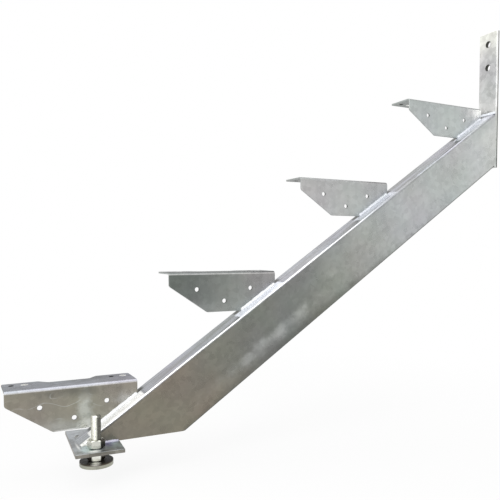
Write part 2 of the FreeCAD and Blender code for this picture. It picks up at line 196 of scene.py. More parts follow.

# Marks on top of the foot plate: place from the stud's axis, half sizes, strength and colour
# Pale cyan marks round the nut are a painted reflection, near-white ones painted highlights, the dark far
# one painted shade
PLATE_MARKS = (((0.030, 0.002, 0), (0.016, 0.020, 0.02), 0.85, "pale_patch"),
               ((0.021, 0.007, 0), (0.008, 0.014, 0.02), 1.0, "tint"),
               ((-0.014, -0.010, 0), (0.015, 0.013, 0.02), 0.9, "pale_patch"),
               ((-0.013, 0.006, 0), (0.011, 0.014, 0.02), 0.8, "pale_patch"),
               ((0.027, 0.005, 0), (0.009, 0.007, 0.02), 0.5, "pale_patch"),
               ((-0.006, -0.020, 0), (0.011, 0.007, 0.02), 1.0, "bright"),
               ((0.016, -0.023, 0), (0.015, 0.007, 0.02), 0.6, "plate_edge"),
               ((0.034, -0.004, 0), (0.007, 0.012, 0.02), 0.5, "pale_patch"),
               ((-0.030, -0.017, 0), (0.009, 0.012, 0.02), 0.5, "plate_edge"),
               ((-0.030, 0.036, 0), (0.010, 0.03, 0.02), 0.5, "under"),
               ((-0.0255, 0.016, 0), (0.0022, 0.020, 0.02), 0.7, "bright"))

# Metallic share that its bright marks take away
BRIGHT_MARK_LOSS = 0.8

# Way from the stud's axis painted as lit, its spread, soft edge and colour, and the other one, painted
# shade
LIT_WAYS = {
    "stud_thread": ((-0.75, 0.66), 2.28, 0.16, "hardware", "shaded"),
    "upper_nut": ((-0.75, 0.66), 2.62, 0.06, "nut", "grime"),
    "lower_nut": ((-0.20, -0.98), 0.52, 0.05, "hardware", "grime"),
}

# Foot disc: heights between which its rim turns to painted shade, and a bright spot of painted reflection,
# from the stud's lower end
DISC_SHADE = (0.0048, 0.0062)
DISC_SPOT = ((-0.005, -0.018, 0.005), (0.008, 0.010, 0.003))

# Heights where the weld beads turn to their upper colour, and places along X where the foot beads turn
HIGH_BEADS, PAST_STUD = (0.3, 0.4), (-0.006, 0.004)

# Bead profile in legs: bulge of its face, depth and corners of its root, and the poles that close its ends
BULGE, ROOT_DEPTH, ROOT_CORNER, POLE = 0.35, 0.25, 0.4, 0.02
FACE_POINTS, RIPPLE_POINTS, END_SIZE = 9, 7, 0.02

# Slow swell of a bead: share of its size, radians in a metre and start
SWELLS = ((0.06, 390, 0), (0.05, 151, 1))

# Flats of the cut thread in pitches
CREST_FLAT, ROOT_FLAT = 1 / 8, 1 / 4

# Side of the picture in pixels and width of the camera's sensor in millimetres
IMAGE_SIDE = 500
SENSOR = 36.0

# Lamps: place and side. Floor: points round it, grey of its paint and fade of its white share outwards
KEY_LAMP = (Vector((-1.4, -1.0, 1.6)), 1.4)
TOP_LAMP = (Vector((0.2, 0.2, 2.6)), 3.0)
FLOOR_POINTS = 96
FLOOR_GREY = 0.9
FLOOR_WHITE = (0.5, 1.5, 0.9, 1.0)
WHITE = (1, 1, 1, 1)


def tube_top(x):
    """Height of the hollow section's upper face at a place along the stair."""
    return TOE.z + (x - TOE.x) * UPHILL.z / UPHILL.x


def tube_x(z):
    """Place along the stair where the upper face reaches a height."""
    return TOE.x + (z - TOE.z) * UPHILL.x / UPHILL.z


def plate_end(y):
    """Place along the stair of the foot plate's uphill edge, which lies askew, at a place across it."""
    points = np.array([point.co for point in NODES["foot_plate"].data.vertices])
    near, far = points[points[:, 1].argmin()], points[points[:, 0].argmax()]
    return near[0] + (far[0] - near[0]) * (y - near[1]) / (far[1] - near[1])


def tone(red, green, blue):
    """Linear colour of a screen colour given from 0 to 255."""
    share = np.array((red, green, blue)) / 255
    linear = np.where(share <= 0.04045, share / 12.92, ((share + 0.055) / 1.055) ** 2.4)
    return tuple(float(part) for part in linear)


def colour_property(name, description, screen_colour):
    """Colour setting with a screen colour as its default."""
    return FloatVectorProperty(name=name, description=description, subtype="COLOR", size=3,
                               min=0, max=1, default=tone(*screen_colour))


def length_property(name, description, **limits):
    """Length setting, shown to a tenth of a millimetre."""
    return FloatProperty(name=name, description=description, unit="LENGTH", precision=4, **limits)


class ZincTones(PropertyGroup):
    """Colours of the zinc coat, from the darker foot of the stair to its lighter head, with painted light
    and shade among them.
    """
    low: colour_property("Low", "Sides near the ground, browner and duller", (130, 125, 113))
    middle: colour_property("Middle", "Sides half way up", (122, 124, 119))
    high: colour_property("High", "Sides above the middle", (182, 186, 185))
    head: colour_property("Head", "Sides at the head of the stair", (203, 205, 204))
    # Upward: lilac-grey of the upper face, with a painted reflection of the sky in its bluish tint
    upward: colour_property("Upward", "Upper face of the hollow section, rain-washed", (168, 170, 177))
    # Under: painted shade on faces that look down, and in the dark marks that use this colour
    under: colour_property("Under", "Faces that look down and stay damp", (92, 93, 88))
    # Bright: near white, for painted highlights on corners, bends, edges and holes, and for other pale
    # marks
    bright: colour_property("Bright", "Rubbed corners, and fresh zinc at the foot", (250, 250, 248))
    # Painted highlight: near-white band of the upper face before the webs, bluish uphill
    painted_highlight: colour_property("Fresh", "Fresh zinc beside the upper welds", (240, 244, 253))
    # Stain: pale blotches; on the lowest web it also paints the stud's reflection
    stain: colour_property("Stain", "Pale bloom of old zinc salts", (186, 188, 184))
    # Heat tint: used for one lilac patch on the foot plate, right of the nut
    tint: colour_property("Heat tint", "Blue left by the heat of welding", (150, 142, 190))
    # Painted reflection on the foot plate round the upper nut
    pale_patch: colour_property("Bloom", "Pale cyan wash round the upper nut", (206, 222, 224))
    # Bore: painted shade in hole walls and the painted shadow behind the webs; also a dark corner line and
    # arris
    bore: colour_property("Bore", "Walls of the drilled holes, and flux", (66, 67, 62))
    # Hardware and nut: painted light on the lit sides of the stud and nuts; hardware is also the disc's
    # painted reflection
    hardware: colour_property("Hardware", "Stud and lower nut on their open side", (240, 240, 232))
    nut: colour_property("Nut", "Upper nut on its open side", (214, 214, 206))
    # Painted shade on the sheltered sides of the nuts and on top of the foot disc
    grime: colour_property("Grime", "Nuts and foot disc where they are sheltered", (66, 60, 52))
    # Shaded: painted shade on the stud's far side
    shaded: colour_property("Shaded", "Stud where it is sheltered", (118, 117, 110))
    foot: colour_property("Foot", "Rim of the foot disc", (158, 159, 147))
    top_plate: colour_property("Top plate", "Flat bar of the top plate", (195, 195, 195))
    top_end: colour_property("Top plate end", "Top plate round its bolt holes", (226, 227, 220))
    plate_edge: colour_property("Foot plate edges", "Sawn edges of the foot plate", (134, 129, 123))
    foot_plate: colour_property("Foot plate", "Flat bar of the foot plate", (165, 168, 172))
    bead: colour_property("Weld beads", "Zinc over the lower weld beads", (243, 245, 248))
    high_bead: colour_property("Upper beads", "Zinc over the upper weld beads", (226, 229, 236))
    toe_bead: colour_property("Toe beads", "Zinc over the foot beads at the toe", (226, 226, 223))
    foot_bead: colour_property("Foot beads", "Zinc over the foot beads past the stud", (200, 197, 214))


class BracketTones(PropertyGroup):
    """Colours of the brackets: webs at the nose and heel of each step, seats, and sheared ends."""
    nose_1: colour_property("First nose", "Lowest bracket, nose end", (141, 137, 125))
    heel_1: colour_property("First heel", "Lowest bracket, heel end", (148, 145, 134))
    nose_2: colour_property("Second nose", "Second bracket, nose end", (106, 112, 107))
    heel_2: colour_property("Second heel", "Second bracket, heel end", (150, 151, 149))
    nose_3: colour_property("Third nose", "Third bracket, nose end", (181, 181, 180))
    heel_3: colour_property("Third heel", "Third bracket, heel end", (178, 182, 181))
    nose_4: colour_property("Top nose", "Top bracket, nose end", (180, 186, 184))
    heel_4: colour_property("Top heel", "Top bracket, heel end", (190, 195, 194))
    seat_1: colour_property("First seat", "Lowest bracket, seat", (161, 163, 170))
    seat_2: colour_property("Second seat", "Second bracket, seat", (112, 115, 114))
    seat_3: colour_property("Third seat", "Third bracket, seat", (156, 158, 158))
    seat_4: colour_property("Top seat", "Top bracket, seat", (170, 174, 173))
    # End colours: painted light, the end faces lit brighter than the webs; the undersides take them too
    end_1: colour_property("First ends", "Lowest bracket, ends and underside", (150, 148, 140))
    end_2: colour_property("Second ends", "Second bracket, ends and underside", (200, 203, 201))
    end_3: colour_property("Third ends", "Third bracket, ends and underside", (176, 178, 177))
    end_4: colour_property("Top ends", "Top bracket, ends and underside", (178, 182, 180))


class BeadSizes(PropertyGroup):
    """Sizes of the fillet welds."""
    leg: length_property("Leg", "Width of a bead on each plate", default=0.004, min=0.001, max=0.01)
    foot_leg: length_property("Foot leg", "Leg of the beads beside the levelling nut",
                              default=0.003, min=0.001, max=0.004)
    ripple: length_property("Ripple", "Distance between two ripples of a bead",
                            default=0.0022, min=0.001, max=0.01)
    ripple_height: FloatProperty(name="Ripple height", description="Share of the leg in a ripple's height",
                                 default=0.03, min=0, max=0.4)


class ThreadSizes(PropertyGroup):
    """Sizes of the cut thread on the levelling stud."""
    pitch: length_property("Pitch", "Rise of the thread in one turn",
                           default=0.002, min=0.0005, max=0.006)
    depth: length_property("Depth", "Depth of the thread from crest to root",
                           default=0.0009, min=0.0002, max=0.004)
    chamfer: length_property("Chamfer", "Bevel at the top of the stud", default=0.0015, min=0, max=0.004)
    around: IntProperty(name="Points round", description="Points round the stud",
                        default=60, min=24, max=120)
    per_turn: IntProperty(name="Rows in a turn", description="Rows of points in one pitch",
                          default=10, min=6, max=20)


class StudioSettings(PropertyGroup):
    """Camera, lamps and floor."""
    camera_place: FloatVectorProperty(name="Camera", description="Place of the camera", size=3,
                                      subtype="TRANSLATION", unit="LENGTH",
                                      default=(-0.196263, -0.973752, 0.338034))
    camera_yaw: FloatProperty(name="Yaw", description="Turn of the view from +Y towards +X",
                              subtype="ANGLE", default=math.radians(28.298))
    camera_pitch: FloatProperty(name="Pitch", description="Tilt of the view above the horizon",
                                subtype="ANGLE", default=math.radians(-3.002))
    focal_pixels: FloatProperty(name="Focal length", description="Focal length in pixels of the picture",
                                default=609.869, min=100, max=3000)
    centre_pixels: FloatVectorProperty(name="Centre", description="Pixel on the axis of the view",
                                       size=2, default=(278.698, 282.768))
    key_power: FloatProperty(name="Key", description="Power of the key lamp in watts",
                             default=20, min=0, max=500)
    top_power: FloatProperty(name="Top", description="Power of the overhead lamp in watts",
                             default=40, min=0, max=500)
    sky: FloatProperty(name="Sky", description="Even light from all round", default=0.45, min=0, max=2)
    floor_radius: length_property("Floor radius", "Radius of the round floor", default=3.0, min=1, max=20)


class StringerSettings(PropertyGroup):
    """All settings of the stringer's looks."""
    zinc: PointerProperty(type=ZincTones)
    webs: PointerProperty(type=BracketTones)
    beads: PointerProperty(type=BeadSizes)
    thread: PointerProperty(type=ThreadSizes)
    studio: PointerProperty(type=StudioSettings)


class Finish:
    """Node tree of one material, or of the world. Each call adds nodes and gives one output."""

    def __init__(self, name, owners=None):
        self.owner = (bpy.data.materials if owners is None else owners).new(name)
        self.owner.use_nodes = True
        self.tree = self.owner.node_tree
        self.tree.nodes.clear()

    def add(self, kind, inputs=None, output=0, **settings):
        """Node of a kind: inputs that are sockets are linked, others are set."""
        node = self.tree.nodes.new(kind)
        for key, given in settings.items():
            setattr(node, key, given)
        for key, given in (inputs or {}).items():
            if isinstance(given, bpy.types.NodeSocket):
                self.tree.links.new(given, node.inputs[key])
            else:
                node.inputs[key].default_value = given
        return node.outputs[output] if node.outputs else None

    def seen_ray(self):
        """One for rays from the camera and for those that metal or glass sends on, else zero."""
        kinds = ("Camera", "Glossy", "Transmission")
        rays = [self.add("ShaderNodeLightPath", output=f"Is {kind} Ray") for kind in kinds]
        return self.most(self.most(rays[0], rays[1]), rays[2])

    def place(self, centre=(0, 0, 0), turn=(0, 0, 0), stretch=(1, 1, 1)):
        """Object coordinates measured from a centre, turned back and then stretched."""
        raw = self.add("ShaderNodeTexCoord", output="Object")
        level = self.add("ShaderNodeMapping", {"Vector": raw, "Location": centre, "Rotation": turn},
                         vector_type="TEXTURE")
        return level if tuple(stretch) == (1, 1, 1) else self.vector("MULTIPLY", level, stretch)

    def vector(self, kind, first, second=(0, 0, 0), output="Vector"):
        """Two vectors put together, or one worked on."""
        return self.add("ShaderNodeVectorMath", {0: first, 1: second}, output, operation=kind)

    def axis(self, vector, letter):
        """One coordinate of a vector."""
        return self.add("ShaderNodeSeparateXYZ", {"Vector": vector}, letter)

    def normal(self):
        """Way that the surface faces, in the piece's own axes."""
        return self.add("ShaderNodeTexCoord", output="Normal")

    def combine(self, kind, first, second=0.0):
        """Two numbers put together, such as ADD or SUBTRACT, or one worked on."""
        return self.add("ShaderNodeMath", {0: first, 1: second}, operation=kind)

    def times(self, first, second):
        """Product of two numbers."""
        return self.combine("MULTIPLY", first, second)

    def most(self, first, second):
        """The larger of two numbers."""
        return self.combine("MAXIMUM", first, second)

    def ease(self, number, start, end, low=0.0, high=1.0):
        """Number carried smoothly from low to high as it goes from start to end."""
        span = {"Value": number, "From Min": start, "From Max": end, "To Min": low, "To Max": high}
        return self.add("ShaderNodeMapRange", span, interpolation_type="SMOOTHSTEP")

    def swing(self, number, size, middle=0.0, start=0.25, end=0.75):
        """Number carried to a swing of a size on both sides of a middle."""
        return self.ease(number, start, end, middle - size, middle + size)

    def within(self, number, centre, half, soft):
        """One inside a stretch round a centre, fading to zero over its soft ends."""
        away = self.combine("ABSOLUTE", self.combine("SUBTRACT", number, centre))
        return self.ease(away, half, half - soft)

    def noise(self, vector, scale, detail=4.0, roughness=0.55, output=0):
        """Cloudy number from 0 to 1, about 0.5 on average, or a colour of three such numbers."""
        return self.add("ShaderNodeTexNoise", {"Vector": vector, "Scale": scale, "Detail": detail,
                                               "Roughness": roughness}, output)

    def blend(self, share, first, second, kind="MIX"):
        """Two colours mixed by a share."""
        return self.add("ShaderNodeMix", {0: share, 6: first, 7: second}, output=2, data_type="RGBA",
                        blend_type=kind)

    def reach(self, centre, half_sizes, turn=(0, 0, 0)):
        """Distance from a centre in half sizes along turned axes, leaving out an axis without a size."""
        stretch = [1 / size if size else 0.0 for size in half_sizes]
        return self.vector("LENGTH", self.place(centre, turn, stretch), output="Value")

    def patch(self, centre, half_sizes, strength, turn=(0, 0, 0), ragged=0.4):
        """Share of a soft ragged spot: full strength in the middle, fading over its half sizes."""
        rags = self.swing(self.noise(self.place(), RAG_SCALE), ragged, start=0.2, end=0.8)
        ragged_reach = self.combine("ADD", self.reach(centre, half_sizes, turn), rags)
        return self.ease(ragged_reach, 0.0, SPOT_REACH, strength, 0.0)

    def bored(self, colour, bore_colour, centres, radius, along):
        """Colour with the walls of round holes along one axis painted in another: painted shade in dark
        holes, a painted highlight in bright ones.
        """
        half_sizes = [0.0 if letter == along else radius for letter in "XYZ"]
        for centre in centres:
            wall = self.ease(self.reach(centre, half_sizes), *WALL_FADE)
            colour = self.blend(wall, colour, bore_colour)
        return colour

    def steel(self, colour, metallic, roughness, relief, grazing):
        """Closes the tree with a metal surface, whose gloss at grazing angles has a share of its own."""
        normal = self.add("ShaderNodeBump", {"Height": relief, "Strength": RELIEF_STRENGTH,
                                             "Distance": RELIEF_HEIGHT})
        surface = self.add("ShaderNodeBsdfPrincipled", {"Base Color": colour, "Metallic": metallic,
                                                        "Roughness": roughness, "Normal": normal,
                                                        "Specular Tint": (grazing, grazing, grazing, 1.0)})
        self.add("ShaderNodeOutputMaterial", {"Surface": surface})
        return self.owner


def opaque(colour):
    """Colour with full alpha, as a colour socket takes it."""
    return (*colour, 1.0)


def named(tones, name):
    """Colour setting of a name, as a colour socket takes it."""
    return opaque(getattr(tones, name))


def cloudy_zinc(finish, colour, vector, roughness, contrast, metallic=METALLIC, grain=(1, 1, 1),
                grazing=1.0):
    """Zinc coat over a colour: large clouds, crystal flakes and fine drawn lines lighten and darken it."""
    clouds = finish.noise(vector, CLOUD_SCALE, detail=5.0, roughness=0.6)
    flakes = finish.add("ShaderNodeTexVoronoi", {"Vector": vector, "Scale": FLAKE_SCALE,
                                                 "Randomness": 1.0}, output="Color")
    flake = finish.axis(flakes, "X")
    drawn = finish.vector("MULTIPLY", vector, grain)
    lines = finish.noise(drawn, LINE_SCALE, detail=3.0, roughness=0.5)
    mottle = finish.combine("ADD", finish.swing(clouds, CLOUD_SWING * contrast, middle=1.0),
                            finish.swing(flake, FLAKE_SWING * contrast, start=0.0, end=1.0))
    value = finish.combine("ADD", mottle, finish.swing(lines, LINE_SWING * contrast))
    shaded = finish.add("ShaderNodeHueSaturation", {"Color": colour, "Value": value})
    hues = finish.noise(vector, HUE_SCALE, detail=3.0, roughness=0.5, output="Color")
    tinted = finish.blend(HUE_SHARE, shaded, hues, "SOFT_LIGHT")
    rough = finish.combine("ADD", finish.swing(clouds, CLOUD_ROUGHNESS, roughness, start=0.3, end=0.7),
                           finish.swing(flake, FLAKE_ROUGHNESS, start=0.0, end=1.0))
    pits = finish.noise(vector, PIT_SCALE, detail=3.0, roughness=0.6)
    relief = finish.combine("ADD", finish.times(pits, PIT_RELIEF), finish.times(flake, FLAKE_RELIEF))
    return finish.steel(tinted, metallic, rough, relief, grazing)


def light_and_shade_by_facing(finish, side, seat, under):
    """Side colour with others on faces that look up and down: painted light and shade by the way a face
    looks.
    """
    upright = finish.axis(finish.normal(), "Z")
    with_top = finish.blend(finish.ease(upright, *LOOKS_UP), side, seat)
    return finish.blend(finish.ease(upright, *LOOKS_DOWN), with_top, under)


def endwise(finish, letter):
    """Share of the faces that look along an axis, either way."""
    return finish.ease(finish.combine("ABSOLUTE", finish.axis(finish.normal(), letter)), *LOOKS_ALONG)


def lined(finish, colour, line, share, low, high):
    """Colour with a line on near upper corners, where the normal's upright part is from low to high."""
    normal = finish.normal()
    band = finish.within(finish.axis(normal, "Z"), (low + high) / 2, (high - low) / 2, soft=0.1)
    corner = finish.times(finish.ease(finish.axis(normal, "Y"), *LOOKS_NEAR), band)
    return finish.blend(finish.times(corner, share), colour, line)


def scratched(finish, side, scratch, centre, half_sizes, strength):
    """Side colour with thin scratches in a soft zone, where a smooth drawn-out noise passes its middle."""
    wander = finish.noise(finish.place(stretch=SCRATCH_DRAWN), SCRATCH_SCALE, detail=0.6)
    thin = finish.within(wander, 0.5, SCRATCH_WIDTH, SCRATCH_SOFT)
    zone = finish.patch(centre, half_sizes, strength, ragged=0.8)
    return finish.blend(finish.times(thin, zone), side, scratch)


def lit_side(finish, lit_colour, grime, way, spread, soft):
    """Painted light and shade: lit colour on the sides within a spread of one way from the stud's axis,
    shade on the others.
    """
    outwards = finish.vector("NORMALIZE", finish.place(stretch=(1, 1, 0)))
    facing = finish.vector("DOT_PRODUCT", outwards, (*way, 0.0), "Value")
    limit = math.cos(spread)
    return finish.blend(finish.ease(facing, limit - soft, limit + soft), grime, lit_colour)


def coat(node, material):
    """Gives one finish to a whole piece."""
    piece = NODES[node] if isinstance(node, str) else node
    piece.data.materials.clear()
    piece.data.materials.append(material)


def set_out(name, data):
    """Object for a mesh, a lamp or a camera, linked to the scene."""
    piece = bpy.data.objects.new(name, data)
    bpy.context.scene.collection.objects.link(piece)
    return piece


def closed_skin(name, rings, first_pole, last_pole):
    """Closed mesh through rings of points, with both ends drawn together to a pole.

    rings has the shape (rings, points round, 3). Quads join neighbouring rings and a fan closes each end.
    The faces are turned outwards by the sign of the enclosed volume.
    """
    count, around = rings.shape[:2]
    points = np.concatenate([rings.reshape(-1, 3), [first_pole, last_pole]])
    index = np.arange(count * around).reshape(count, around)
    beside = np.roll(index, -1, axis=1)
    quads = np.stack([index[:-1], beside[:-1], beside[1:], index[1:]], axis=-1).reshape(-1, 4)
    start = np.stack([np.full(around, count * around), beside[0], index[0]], axis=-1)
    end = np.stack([np.full(around, count * around + 1), index[-1], beside[-1]], axis=-1)
    triangles = np.concatenate([quads[:, :3], quads[:, [0, 2, 3]], start, end])
    a, b, c = (points[triangles[:, corner]] for corner in range(3))
    if np.einsum("ij,ij->", a, np.cross(b, c)) < 0:
        quads, start, end = quads[:, ::-1], start[:, ::-1], end[:, ::-1]
    mesh = bpy.data.meshes.new(name)
    mesh.from_pydata(points.tolist(), [], quads.tolist() + start.tolist() + end.tolist())
    mesh.polygons.foreach_set("use_smooth", np.ones(len(mesh.polygons), dtype=bool))
    mesh.update()
    return set_out(name, mesh)


def thread_skin(sizes, low, high):
    """Cut thread: the radius falls from crest to root by a flattened triangle wave of height less turn.

    With p the phase of height / pitch - angle / full turn, the depth is the distance of p from the crest,
    clipped at the flats of crest and root. The top is bevelled by the height left.
    """
    radius = (high.x - low.x) / 2
    rows = int((high.z - low.z) / sizes.pitch * sizes.per_turn) + 1
    height = np.linspace(low.z, high.z, rows)[:, None]
    angle = np.linspace(0, 2 * np.pi, sizes.around, endpoint=False)[None, :]
    phase = (height / sizes.pitch - angle / (2 * np.pi)) % 1.0
    from_crest = np.abs(phase - 0.5) * 2
    cut = np.clip((from_crest - CREST_FLAT) / (1 - CREST_FLAT - ROOT_FLAT), 0, 1)
    reach = np.minimum(radius - sizes.depth * cut, radius - sizes.chamfer + (high.z - height))
    level = np.broadcast_to(height, reach.shape)
    rings = np.stack([reach * np.cos(angle), reach * np.sin(angle), level], axis=-1)
    centre = np.array([(low.x + high.x) / 2, (low.y + high.y) / 2, 0.0])
    return closed_skin("stud_thread", rings + centre, centre + (0, 0, low.z), centre + (0, 0, high.z))


def bead_skin(name, start, end, first_leg, second_leg, sizes, leg):
    """Fillet weld: a bulging triangle profile carried along a line, with even ripples.

    Round the profile, the skin goes from one leg to the other between an arc and its chord, and comes back
    through the root, which lies a little inside both plates. Along the line the profile is scaled by one
    plus a rectified sine and two slow swells, with rounded ends.
    """
    start, end = np.array(start), np.array(end)
    legs = np.array([first_leg, second_leg])
    length = np.linalg.norm(end - start)
    along = np.linspace(0, 1, int(length / sizes.ripple * RIPPLE_POINTS) + 1)
    wave = np.abs(np.sin(np.pi * along * length / sizes.ripple))
    swell = sum(share * np.sin(along * length * pace + first) for share, pace, first in SWELLS)
    from_end = np.minimum(along, 1 - along) * length
    ends = np.sqrt(np.clip(1 - (1 - np.clip(from_end / leg, 0, 1)) ** 2, END_SIZE, 1))
    size = leg * ends * (1 + sizes.ripple_height * wave + swell)
    sweep = np.linspace(0, 1, FACE_POINTS)
    turn = sweep * np.pi / 2
    arc = np.outer(np.cos(turn), legs[0]) + np.outer(np.sin(turn), legs[1])
    chord = np.outer(1 - sweep, legs[0]) + np.outer(sweep, legs[1])
    face = BULGE * arc + (1 - BULGE) * chord
    root = -ROOT_DEPTH * legs.sum(axis=0)
    profile = np.concatenate([face, [legs[1] * ROOT_CORNER + root, root, legs[0] * ROOT_CORNER + root]])
    line = start + np.outer(along, end - start)
    rings = line[:, None, :] + size[:, None, None] * profile[None, :, :]
    pole = POLE * leg * legs.sum(axis=0)
    return closed_skin(name, rings, start + pole, end + pole)


class STRINGER_OT_tube(Operator):
    """Finishes the hollow section with zinc that has weathering marks, and with painted light and shade"""
    bl_idname = "stringer.tube"
    bl_label = "Hollow section"

    def execute(self, context):
        zinc = context.scene.stringer.zinc
        finish = Finish("hollow_section_zinc")
        lengthwise = finish.place(TOE, TUBE_TURN)
        along = finish.axis(lengthwise, "X")
        side = self.side(finish, zinc, along)
        colour = light_and_shade_by_facing(finish, side, self.upper_face(finish, zinc), opaque(zinc.under))
        # A dark line near the toe, and a painted highlight along the near upper corner
        for mark, fade, band in CORNER_LINES:
            colour = lined(finish, colour, named(zinc, mark), finish.ease(along, *fade), *band)
        beside, painted_shadow = self.beside_webs(finish, lengthwise)
        # Painted highlight on the upper face before each web and along the toe's edge, less metallic
        painted_highlight = finish.blend(finish.ease(along, *HIGHLIGHT_COOLS), opaque(zinc.bright), opaque(zinc.painted_highlight))
        colour = finish.blend(beside, colour, painted_highlight)
        # Painted shadow of the brackets on the upper face behind each web's ends
        colour = finish.blend(painted_shadow, colour, opaque(zinc.bore))
        metallic = finish.ease(beside, 0.0, 1.0, METALLIC, HIGHLIGHT_METALLIC)
        coat("stringer_tube", cloudy_zinc(finish, colour, lengthwise, roughness=0.32, contrast=1.0,
                                          metallic=metallic, grain=(0.05, 1, 1)))
        return {"FINISHED"}

    @staticmethod
    def side(finish, zinc, along):
        """Colour of the sides, darker at the toe and lighter at the head, partly weathering and partly
        painted shade, with its marks.
        """
        colour = opaque(zinc.low)
        for mark, start, end in SIDE_FADES:
            colour = finish.blend(finish.ease(along, start, end), colour, named(zinc, mark))
        for place, depth, length, width, strength, mark in SIDE_MARKS:
            centre = TOE + UPHILL * place - OFF_TUBE * depth
            share = finish.patch(centre, (length, THROUGH, width), strength, TUBE_TURN)
            colour = finish.blend(share, colour, named(zinc, mark))
        return colour

    @staticmethod
    def upper_face(finish, zinc):
        """Colour of the upper face, with drain streaks and marks."""
        streaks = finish.noise(finish.place(TOE, TUBE_TURN, STREAK_DRAWN), STREAK_SCALE, detail=2.0)
        colour = finish.blend(finish.ease(streaks, *STREAKS), opaque(zinc.upward), opaque(zinc.middle))
        for place, across, length, width, strength, mark in UPPER_MARKS:
            centre = TOE + UPHILL * place + Vector((0, across, 0))
            share = finish.patch(centre, (length, width, THROUGH), strength, TUBE_TURN)
            colour = finish.blend(share, colour, named(zinc, mark))
        return colour

    @staticmethod
    def beside_webs(finish, lengthwise):
        """Shares of painted highlight before the webs and on the toe's edge, and of painted shadow behind
        the webs' ends.

        Places along the hollow section are folded into one step, counted from the middle of a web's foot.
        """
        low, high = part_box(BRACKETS[0])
        foot, heel = (low.z - TOE.z) / UPHILL.z, (high.x - TOE.x) / UPHILL.x
        middle, half = (foot + heel) / 2, (heel - foot) / 2
        web = low.y - TOE.y
        along, across = finish.axis(lengthwise, "X"), finish.axis(lengthwise, "Y")
        shifted = finish.combine("ADD", along, STEP.length / 2 - middle)
        folded = finish.combine("FLOORED_MODULO", shifted, STEP.length)
        place = finish.combine("SUBTRACT", folded, STEP.length / 2)
        facing = finish.vector("DOT_PRODUCT", finish.normal(), OFF_TUBE, "Value")
        corner = finish.times(finish.ease(facing, *ROUND_CORNER), finish.ease(along, *CORNER_SHARE))
        upper = finish.most(finish.ease(facing, *FLAT_FACE), corner)
        length = finish.within(place, HIGHLIGHT_SHIFT, half + HIGHLIGHT_PAST, HIGHLIGHT_SOFT_ALONG)
        width = finish.within(across, web / 2, web / 2 + HIGHLIGHT_UNDER, HIGHLIGHT_SOFT_ACROSS)
        toe = finish.times(finish.ease(along, *TOE_END), finish.ease(across, *TOE_EDGE))
        dulled = finish.ease(across, *CORNER_WIDTH, finish.ease(along, *CORNER_DULLS), 1.0)
        fading = finish.times(dulled, finish.ease(along, *HIGHLIGHT_THINS))
        painted_highlight = finish.times(finish.most(finish.times(length, width), toe), fading)
        from_middle = finish.combine("ABSOLUTE", place)
        ends = finish.within(from_middle, half + SHADOW_PAST, SHADOW_LENGTH, SHADOW_SOFT_ALONG)
        behind = finish.within(across, web + SHADOW_WIDTH, SHADOW_WIDTH, SHADOW_SOFT_ACROSS)
        return finish.times(painted_highlight, upper), finish.times(finish.times(ends, behind), upper)


class STRINGER_OT_brackets(Operator):
    """Finishes the folded tread brackets, each with clouds of its own"""
    bl_idname = "stringer.brackets"
    bl_label = "Tread brackets"

    def execute(self, context):
        settings = context.scene.stringer
        bore, bright = opaque(settings.zinc.bore), opaque(settings.zinc.bright)
        for name, bend_highlight in zip(BRACKETS, BEND_HIGHLIGHT):
            low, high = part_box(name)
            corner = Vector((low.x, low.y, high.z))
            nose, heel, seat, end = (named(settings.webs, f"{part}_{name[-1]}")
                                     for part in ("nose", "heel", "seat", "end"))
            finish = Finish(f"{name}_zinc")
            own = finish.place(corner)
            heelward = finish.ease(finish.axis(own, "X"), 0.0, high.x - low.x)
            web = self.web(finish, settings.zinc, name, corner, finish.blend(heelward, nose, heel))
            # End faces and undersides take the painted light of the end colour
            web = finish.blend(endwise(finish, "X"), web, end)
            web = finish.bored(web, bore, self.holes(corner, WEB_HOLES), SCREW_RADIUS, "Y")
            # Painted shade on the seat's far part
            place, half_sizes, strength, mark = SEAT_SHADE
            share = finish.patch(corner + Vector(place), half_sizes, strength)
            seat = finish.blend(share, seat, named(settings.zinc, mark))
            # Painted highlight line along each bend
            colour = lined(finish, light_and_shade_by_facing(finish, web, seat, end), bright, bend_highlight, *BEND_BAND)
            colour = finish.bored(colour, bright, self.holes(corner, BRIGHT_SEAT_HOLES), BRIGHT_RING, "Z")
            colour = finish.bored(colour, bore, self.holes(corner, DARK_SEAT_HOLES), SCREW_RADIUS, "Z")
            coat(name, cloudy_zinc(finish, colour, own, roughness=0.32, contrast=1.0,
                                   grain=(1, 1, 0.06), grazing=0.5))
        return {"FINISHED"}

    @staticmethod
    def web(finish, zinc, name, corner, colour):
        """Colour of an upright web with its pale lower edge, its marks and, on the lowest, scratches."""
        pale_patch = finish.ease(finish.axis(finish.place(corner), "Z"), *WEB_BLOOM)
        colour = finish.blend(pale_patch, colour, opaque(zinc.stain))
        for place, half_sizes, strength, mark in WEB_MARKS.get(name, ()):
            share = finish.patch(corner + Vector(place), half_sizes, strength)
            colour = finish.blend(share, colour, named(zinc, mark))
        if name == BRACKETS[0]:
            place, *zone = SCRATCHED_ZONE
            colour = scratched(finish, colour, opaque(zinc.stain), corner + Vector(place), *zone)
        return colour

    @staticmethod
    def holes(corner, places):
        """Centres of holes that are given from a bracket's corner."""
        return [corner + Vector(place) for place in places]


